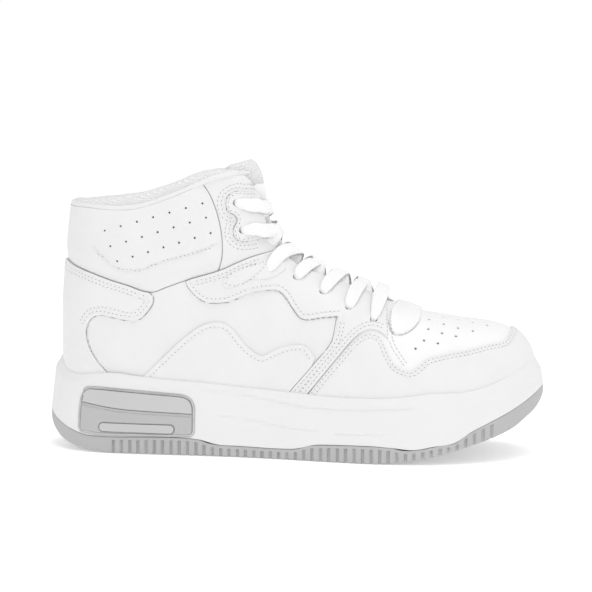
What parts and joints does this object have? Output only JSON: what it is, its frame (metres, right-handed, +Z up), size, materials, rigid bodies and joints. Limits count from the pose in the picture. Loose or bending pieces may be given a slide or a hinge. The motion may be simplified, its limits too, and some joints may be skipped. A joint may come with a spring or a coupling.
{
  "type": "basketball high top",
  "caption": "Padded lace-up basketball high top for the right foot, with a cupped sole, layered upper panels, a hinged tongue and a removable footbed.",
  "frame": {"origin": "on the ground, under the middle of the shoe's bounding box", "axes": "+X to the toe, +Y to the inner (medial) side, +Z up"},
  "size_m": [0.294, 0.1044, 0.1722],
  "materials": {
    "leather": "smooth white synthetic leather with a fine grain",
    "lace": "flat woven white lace",
    "lining": "off-white spacer mesh",
    "midsole": "matt white moulded cup sole",
    "outsole": "grey ribbed rubber",
    "insert": "light grey moulded panel",
    "board": "pressed fibre insole board",
    "foam": "open-cell padding",
    "stiffener": "moulded stiffener sheet",
    "shank": "stiff dark plate"
  },
  "bodies": {
    "shoe": {"ankle_facing_lateral": "leather", "ankle_facing_medial": "leather", "collar_binding": "leather", "collar_foam": "foam", "collar_lining": "lining", "collar_panel": "leather", "eyestay_backing_lateral": "stiffener", "eyestay_backing_medial": "stiffener", "eyestay_lateral": "leather", "eyestay_medial": "leather", "heel_counter": "stiffener", "heel_insert_lateral": "insert", "heel_insert_medial": "insert", "heel_overlay": "leather", "insole_board": "board", "lace": "lace", "lace_tab_lateral": "leather", "lace_tab_medial": "leather", "midsole": "midsole", "mudguard": "leather", "outsole": "outsole", "quarter_lateral": "leather", "quarter_lining": "lining", "quarter_medial": "leather", "shank": "shank", "throat_patch": "leather", "toe_puff": "stiffener", "vamp": "leather", "vamp_lining": "lining", "wave_overlay_lateral": "leather", "wave_overlay_medial": "leather"},
    "tongue": {"tongue_face": "leather", "tongue_foam": "foam", "tongue_lining": "lining"},
    "footbed": {"sock_liner": "lining"}
  },
  "joints": [
    {"name": "tongue_swing", "type": "hinge", "parent": "shoe", "child": "tongue", "pos_m": [0.062, 0.002, 0.077], "axis": [0, 1, 0], "range_deg": [-20, 0]},
    {"name": "footbed_lift", "type": "hinge", "parent": "shoe", "child": "footbed", "pos_m": [0.1341, 0.0003, 0.03005], "axis": [0, 1, 0], "range_deg": [0, 8]}
  ]
}
